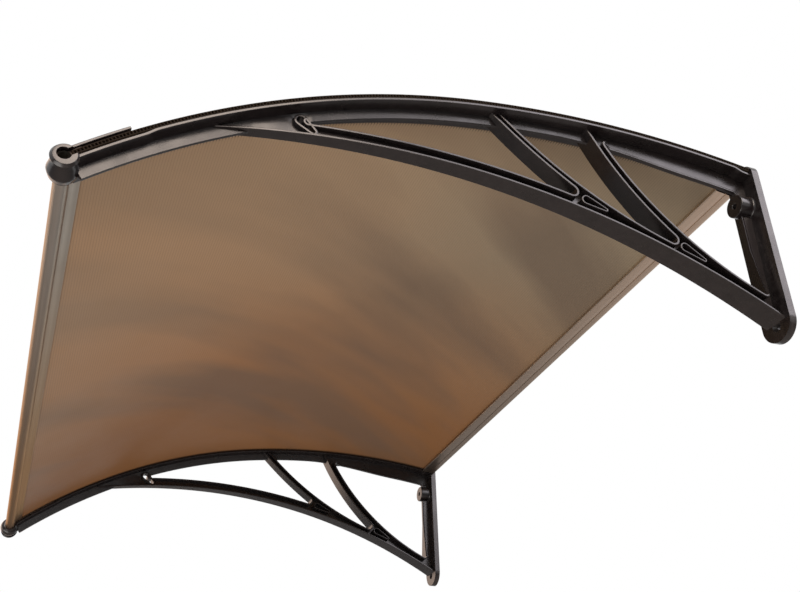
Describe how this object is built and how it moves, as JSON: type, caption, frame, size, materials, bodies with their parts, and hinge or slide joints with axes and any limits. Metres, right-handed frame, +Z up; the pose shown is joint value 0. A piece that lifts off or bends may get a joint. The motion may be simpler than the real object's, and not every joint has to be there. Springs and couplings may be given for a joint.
{
  "type": "awning",
  "caption": "Curved door awning: tinted twin-wall sheet on moulded wall brackets, gripped by aluminium bars at its front and rear edges.",
  "frame": {"origin": "on the wall plane, midway between the two wall plates, level with their lowest points", "axes": "+X along the wall to the right seen from the front, +Y into the wall, +Z up; the awning reaches out along -Y"},
  "size_m": [1.045, 0.7809, 0.2399],
  "materials": {
    "moulded_plastic": "injection-moulded, satin, near black brown",
    "bronze_sheet": "bronze-tinted twin-wall sheet, fine flutes across its width",
    "aluminium": "extruded, satin mill finish",
    "screw_steel": "zinc-plated",
    "washer_rubber": "plain black sealing washer"
  },
  "bodies": {
    "root": {"bracket_left": "moulded_plastic", "bracket_right": "moulded_plastic", "roof_sheet": "bronze_sheet", "front_bar": "aluminium", "rear_bar": "aluminium", "sheet_screw_left_1": "screw_steel", "sheet_screw_left_2": "screw_steel", "sheet_screw_left_3": "screw_steel", "sheet_screw_left_4": "screw_steel", "sheet_screw_right_1": "screw_steel", "sheet_screw_right_2": "screw_steel", "sheet_screw_right_3": "screw_steel", "sheet_screw_right_4": "screw_steel", "washer_left_1": "washer_rubber", "washer_left_2": "washer_rubber", "washer_left_3": "washer_rubber", "washer_left_4": "washer_rubber", "washer_right_1": "washer_rubber", "washer_right_2": "washer_rubber", "washer_right_3": "washer_rubber", "washer_right_4": "washer_rubber"}
  },
  "joints": []
}
